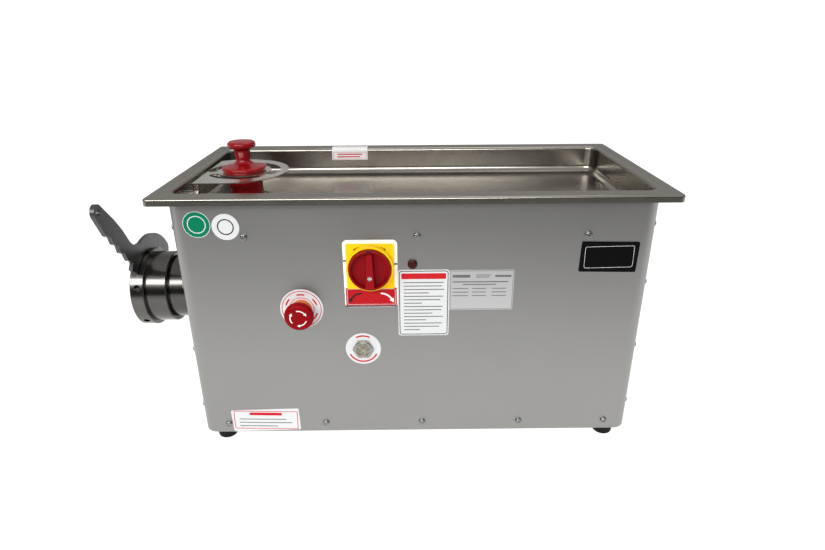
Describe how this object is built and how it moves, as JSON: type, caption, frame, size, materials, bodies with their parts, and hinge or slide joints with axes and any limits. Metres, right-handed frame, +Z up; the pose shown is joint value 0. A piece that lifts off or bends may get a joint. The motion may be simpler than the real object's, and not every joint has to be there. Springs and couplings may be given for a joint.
{
  "type": "electric meat grinder",
  "caption": "Table-top electric meat grinder: steel casing with a deep tray, grinding head with ring nut and hook spanner, stomper, control panel and gear drive.",
  "frame": {"origin": "on the table plane under the middle of the casing", "axes": "+X along the casing from the grinding head to the motor end, +Y from the control panel to the rear, +Z up"},
  "size_m": [0.784, 0.3576, 0.4337],
  "materials": {
    "brushed_steel": "brushed",
    "polished_steel": "polished",
    "cast_steel": "satin",
    "plate_steel": "satin",
    "dark_steel": "satin",
    "zinc_steel": "satin",
    "gear_steel": "ground",
    "cast_iron": "cast",
    "cast_aluminium": "cast",
    "grey_paint": "satin",
    "black_rubber": "matte",
    "gasket": "matte",
    "red_gloss_plastic": "gloss",
    "red_knob_plastic": "gloss",
    "orange_plastic": "satin",
    "yellow_plastic": "satin",
    "white_plastic": "satin",
    "grey_plastic": "satin",
    "black_plastic": "satin",
    "dark_red_lens": "gloss",
    "clear_lens": "clear",
    "brass": "satin",
    "black_plate": "satin",
    "label_film": "satin",
    "anodised_plate": "satin",
    "copper_winding": "varnished",
    "core_steel": "laminated"
  },
  "bodies": {
    "chassis": {"front_cover": "brushed_steel", "casing_body": "brushed_steel", "base_pan": "zinc_steel", "front_rail": "zinc_steel", "casing_screws": "polished_steel", "feet": "black_rubber", "foot_screws": "zinc_steel", "cable_gland": "black_plastic", "barrel": "cast_steel", "plate_pin": "gear_steel", "gearbox_housing": "cast_iron", "oil_filler": "brass", "gearbox_gasket": "gasket", "gearbox_cover": "cast_iron", "drive_bolts": "zinc_steel", "bearings": "gear_steel", "shaft_seals": "black_rubber", "motor_frame": "grey_paint", "motor_front_bell": "cast_aluminium", "motor_rear_bell": "cast_aluminium", "stator_core": "core_steel", "stator_windings": "copper_winding", "fan_cowl": "grey_paint", "terminal_box": "black_plastic", "run_capacitor": "cast_aluminium", "motor_cradle": "zinc_steel", "switch_legend": "white_plastic", "switch_collar": "yellow_plastic", "switch_block": "grey_plastic", "estop_collar": "orange_plastic", "estop_contacts": "grey_plastic", "pilot_lamp": "dark_red_lens", "sight_body": "brass", "sight_lens": "clear_lens", "sight_reflector": "white_plastic", "name_plate": "black_plate", "data_plate": "anodised_plate", "panel_labels": "label_film"},
    "tray_top": {"tray": "polished_steel", "guard_plate": "polished_steel", "guard_bolts": "polished_steel", "tray_label": "label_film"},
    "stomper": {"stomper": "red_gloss_plastic"},
    "worm": {"feed_screw": "cast_steel", "knife": "gear_steel", "output_shaft": "gear_steel", "output_gear": "gear_steel", "gear_key": "gear_steel"},
    "layshaft": {"layshaft": "gear_steel", "layshaft_gear": "gear_steel"},
    "rotor": {"motor_shaft": "gear_steel", "rotor_core": "core_steel", "motor_fan": "black_plastic"},
    "outlet_plate": {"outlet_plate": "plate_steel"},
    "ring_nut": {"ring_nut": "cast_steel"},
    "spanner": {"spanner": "dark_steel"},
    "switch_knob": {"switch_knob": "red_knob_plastic", "knob_screw": "zinc_steel"},
    "estop_stem": {"estop_stem": "black_plastic"},
    "estop_head": {"estop_head": "red_knob_plastic"}
  },
  "joints": [
    {"name": "tray_lift", "type": "slide", "parent": "chassis", "child": "tray_top", "axis": [0, 0, 1], "range_m": [0, 0.08]},
    {"name": "stomper_lift", "type": "slide", "parent": "tray_top", "child": "stomper", "axis": [0, 0, 1], "range_m": [0, 0.15]},
    {"name": "worm_turn", "type": "hinge", "parent": "chassis", "child": "worm", "pos_m": [-0.2, 0, 0.1975], "axis": [1, 0, 0], "continuous": true},
    {"name": "layshaft_turn", "type": "hinge", "parent": "chassis", "child": "layshaft", "pos_m": [-0.1, 0, 0.1125], "axis": [1, 0, 0], "continuous": true},
    {"name": "rotor_turn", "type": "hinge", "parent": "chassis", "child": "rotor", "pos_m": [0.05, 0, 0.1975], "axis": [1, 0, 0], "continuous": true},
    {"name": "plate_slide", "type": "slide", "parent": "chassis", "child": "outlet_plate", "axis": [-1, 0, 0], "range_m": [0, 0.0361]},
    {"name": "nut_turn", "type": "hinge", "parent": "outlet_plate", "child": "ring_nut", "pos_m": [-0.42, 0, 0.1975], "axis": [-1, 0, 0], "range_deg": [0, 2160]},
    {"name": "spanner_unhook", "type": "slide", "parent": "ring_nut", "child": "spanner", "axis": [0, 0.7672, 0.6414], "range_m": [0, 0.008]},
    {"name": "knob_turn", "type": "hinge", "parent": "chassis", "child": "switch_knob", "pos_m": [-0.06, -0.165, 0.293], "axis": [0, 1, 0], "range_deg": [-60, 60]},
    {"name": "estop_push", "type": "slide", "parent": "chassis", "child": "estop_stem", "axis": [0, 1, 0], "range_m": [0, 0.004], "stiffness_N_per_m": 400, "springref_m": -0.01},
    {"name": "estop_twist", "type": "hinge", "parent": "estop_stem", "child": "estop_head", "pos_m": [-0.1575, -0.175, 0.2285], "axis": [0, 1, 0], "range_deg": [0, 30], "stiffness_Nm_per_rad": 0.05, "springref_deg": -11.46}
  ],
  "couplings": [
    {"joint": "layshaft_turn", "follows": "worm_turn", "ratio": -2.4},
    {"joint": "rotor_turn", "follows": "worm_turn", "ratio": 9.6},
    {"joint": "plate_slide", "follows": "nut_turn", "m_per_rad": 0.00095493}
  ]
}
